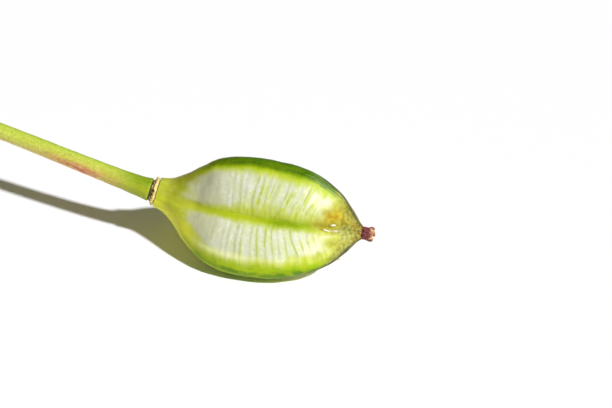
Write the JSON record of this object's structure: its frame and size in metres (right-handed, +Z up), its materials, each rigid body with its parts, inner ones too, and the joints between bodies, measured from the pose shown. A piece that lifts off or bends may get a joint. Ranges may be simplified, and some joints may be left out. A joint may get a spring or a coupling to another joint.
{
  "type": "tulip seed capsule",
  "caption": "Closed green seed capsule with blunt ridges and seed ribs, on a cut stem, lying on its side as picked.",
  "frame": {"origin": "middle of the whole object's footprint, on the surface that it lies on", "axes": "+X along the capsule's axis, from the scar ring to the stigma; +Z up from the surface that it lies on"},
  "size_m": [0.1002, 0.0266, 0.0237],
  "materials": {
    "capsule": "satin",
    "scar_ring": "matte",
    "stem": "satin",
    "stigma": "matte"
  },
  "bodies": {
    "root": {"capsule": "capsule", "scar_ring": "scar_ring", "stem": "stem", "stigma": "stigma"}
  },
  "joints": []
}
